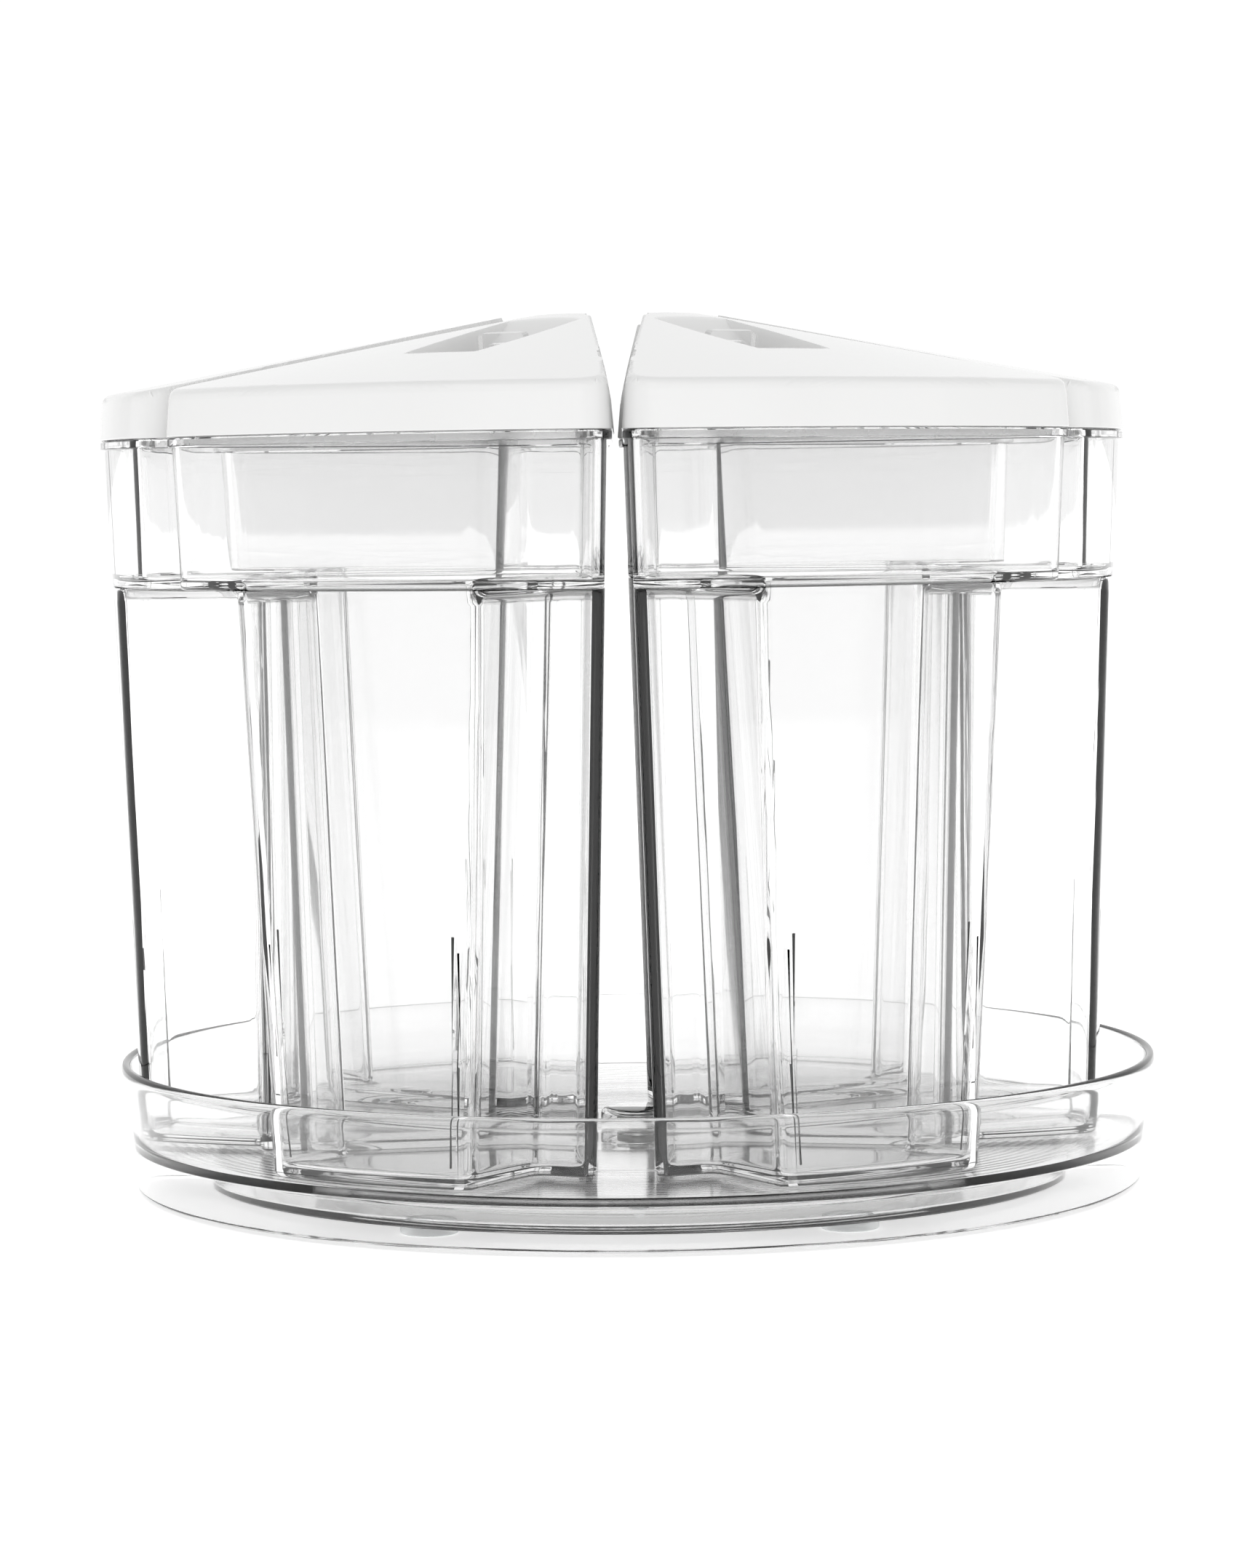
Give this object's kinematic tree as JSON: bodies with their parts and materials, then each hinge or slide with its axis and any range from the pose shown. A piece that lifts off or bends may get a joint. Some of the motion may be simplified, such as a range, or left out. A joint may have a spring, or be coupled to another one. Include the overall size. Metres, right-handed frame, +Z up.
{
  "type": "lazy susan turntable",
  "caption": "Round clear turntable on a ball race, carrying lidded wedge-shaped clear containers with grip notches and lids that form one low cone.",
  "frame": {"origin": "on the table surface, under the spin axis", "axes": "+Z up along the spin axis; -Y towards the viewer, where two containers meet; +X to the right"},
  "size_m": [0.307, 0.304, 0.2534],
  "materials": {
    "clear_plastic": "clear moulded styrene-type plastic, polished faces, frosted race",
    "white_plastic": "glossy white injection-moulded plastic",
    "satin_white": "satin white moulded plastic",
    "silicone": "soft translucent-white silicone",
    "foot_rubber": "cloudy translucent non-slip silicone",
    "ball_steel": "polished steel balls"
  },
  "bodies": {
    "base": {"base_plate": "clear_plastic", "pivot_pin": "satin_white", "pivot_clip": "satin_white", "foot_1": "foot_rubber", "foot_2": "foot_rubber", "foot_3": "foot_rubber", "foot_4": "foot_rubber", "foot_5": "foot_rubber", "foot_6": "foot_rubber"},
    "cage": {"ball_cage": "satin_white", "ball_1": "ball_steel", "ball_2": "ball_steel", "ball_3": "ball_steel", "ball_4": "ball_steel", "ball_5": "ball_steel", "ball_6": "ball_steel", "ball_7": "ball_steel", "ball_8": "ball_steel", "ball_9": "ball_steel", "ball_10": "ball_steel", "ball_11": "ball_steel", "ball_12": "ball_steel"},
    "tray": {"tray": "clear_plastic", "centre_cap": "clear_plastic"},
    "container_body_1": {"container_1": "clear_plastic"},
    "lid_body_1": {"lid_1": "white_plastic", "lid_liner_1": "satin_white", "gasket_1": "silicone", "lid_pull_1": "clear_plastic"},
    "container_body_2": {"container_2": "clear_plastic"},
    "lid_body_2": {"lid_2": "white_plastic", "lid_liner_2": "satin_white", "gasket_2": "silicone", "lid_pull_2": "clear_plastic"},
    "container_body_3": {"container_3": "clear_plastic"},
    "lid_body_3": {"lid_3": "white_plastic", "lid_liner_3": "satin_white", "gasket_3": "silicone", "lid_pull_3": "clear_plastic"},
    "container_body_4": {"container_4": "clear_plastic"},
    "lid_body_4": {"lid_4": "white_plastic", "lid_liner_4": "satin_white", "gasket_4": "silicone", "lid_pull_4": "clear_plastic"},
    "container_body_5": {"container_5": "clear_plastic"},
    "lid_body_5": {"lid_5": "white_plastic", "lid_liner_5": "satin_white", "gasket_5": "silicone", "lid_pull_5": "clear_plastic"},
    "container_body_6": {"container_6": "clear_plastic"},
    "lid_body_6": {"lid_6": "white_plastic", "lid_liner_6": "satin_white", "gasket_6": "silicone", "lid_pull_6": "clear_plastic"}
  },
  "joints": [
    {"name": "tray_spin", "type": "hinge", "parent": "base", "child": "tray", "pos_m": [0, 0, 0], "axis": [0, 0, 1], "continuous": true},
    {"name": "cage_spin", "type": "hinge", "parent": "base", "child": "cage", "pos_m": [0, 0, 0], "axis": [0, 0, 1], "continuous": true},
    {"name": "container_lift_1", "type": "slide", "parent": "tray", "child": "container_body_1", "axis": [0, 0, 1], "range_m": [0, 0.08]},
    {"name": "lid_lift_1", "type": "slide", "parent": "container_body_1", "child": "lid_body_1", "axis": [0, 0, 1], "range_m": [0, 0.12]},
    {"name": "container_lift_2", "type": "slide", "parent": "tray", "child": "container_body_2", "axis": [0, 0, 1], "range_m": [0, 0.08]},
    {"name": "lid_lift_2", "type": "slide", "parent": "container_body_2", "child": "lid_body_2", "axis": [0, 0, 1], "range_m": [0, 0.12]},
    {"name": "container_lift_3", "type": "slide", "parent": "tray", "child": "container_body_3", "axis": [0, 0, 1], "range_m": [0, 0.08]},
    {"name": "lid_lift_3", "type": "slide", "parent": "container_body_3", "child": "lid_body_3", "axis": [0, 0, 1], "range_m": [0, 0.12]},
    {"name": "container_lift_4", "type": "slide", "parent": "tray", "child": "container_body_4", "axis": [0, 0, 1], "range_m": [0, 0.08]},
    {"name": "lid_lift_4", "type": "slide", "parent": "container_body_4", "child": "lid_body_4", "axis": [0, 0, 1], "range_m": [0, 0.12]},
    {"name": "container_lift_5", "type": "slide", "parent": "tray", "child": "container_body_5", "axis": [0, 0, 1], "range_m": [0, 0.08]},
    {"name": "lid_lift_5", "type": "slide", "parent": "container_body_5", "child": "lid_body_5", "axis": [0, 0, 1], "range_m": [0, 0.12]},
    {"name": "container_lift_6", "type": "slide", "parent": "tray", "child": "container_body_6", "axis": [0, 0, 1], "range_m": [0, 0.08]},
    {"name": "lid_lift_6", "type": "slide", "parent": "container_body_6", "child": "lid_body_6", "axis": [0, 0, 1], "range_m": [0, 0.12]}
  ],
  "couplings": [
    {"joint": "cage_spin", "follows": "tray_spin", "ratio": 0.5}
  ]
}
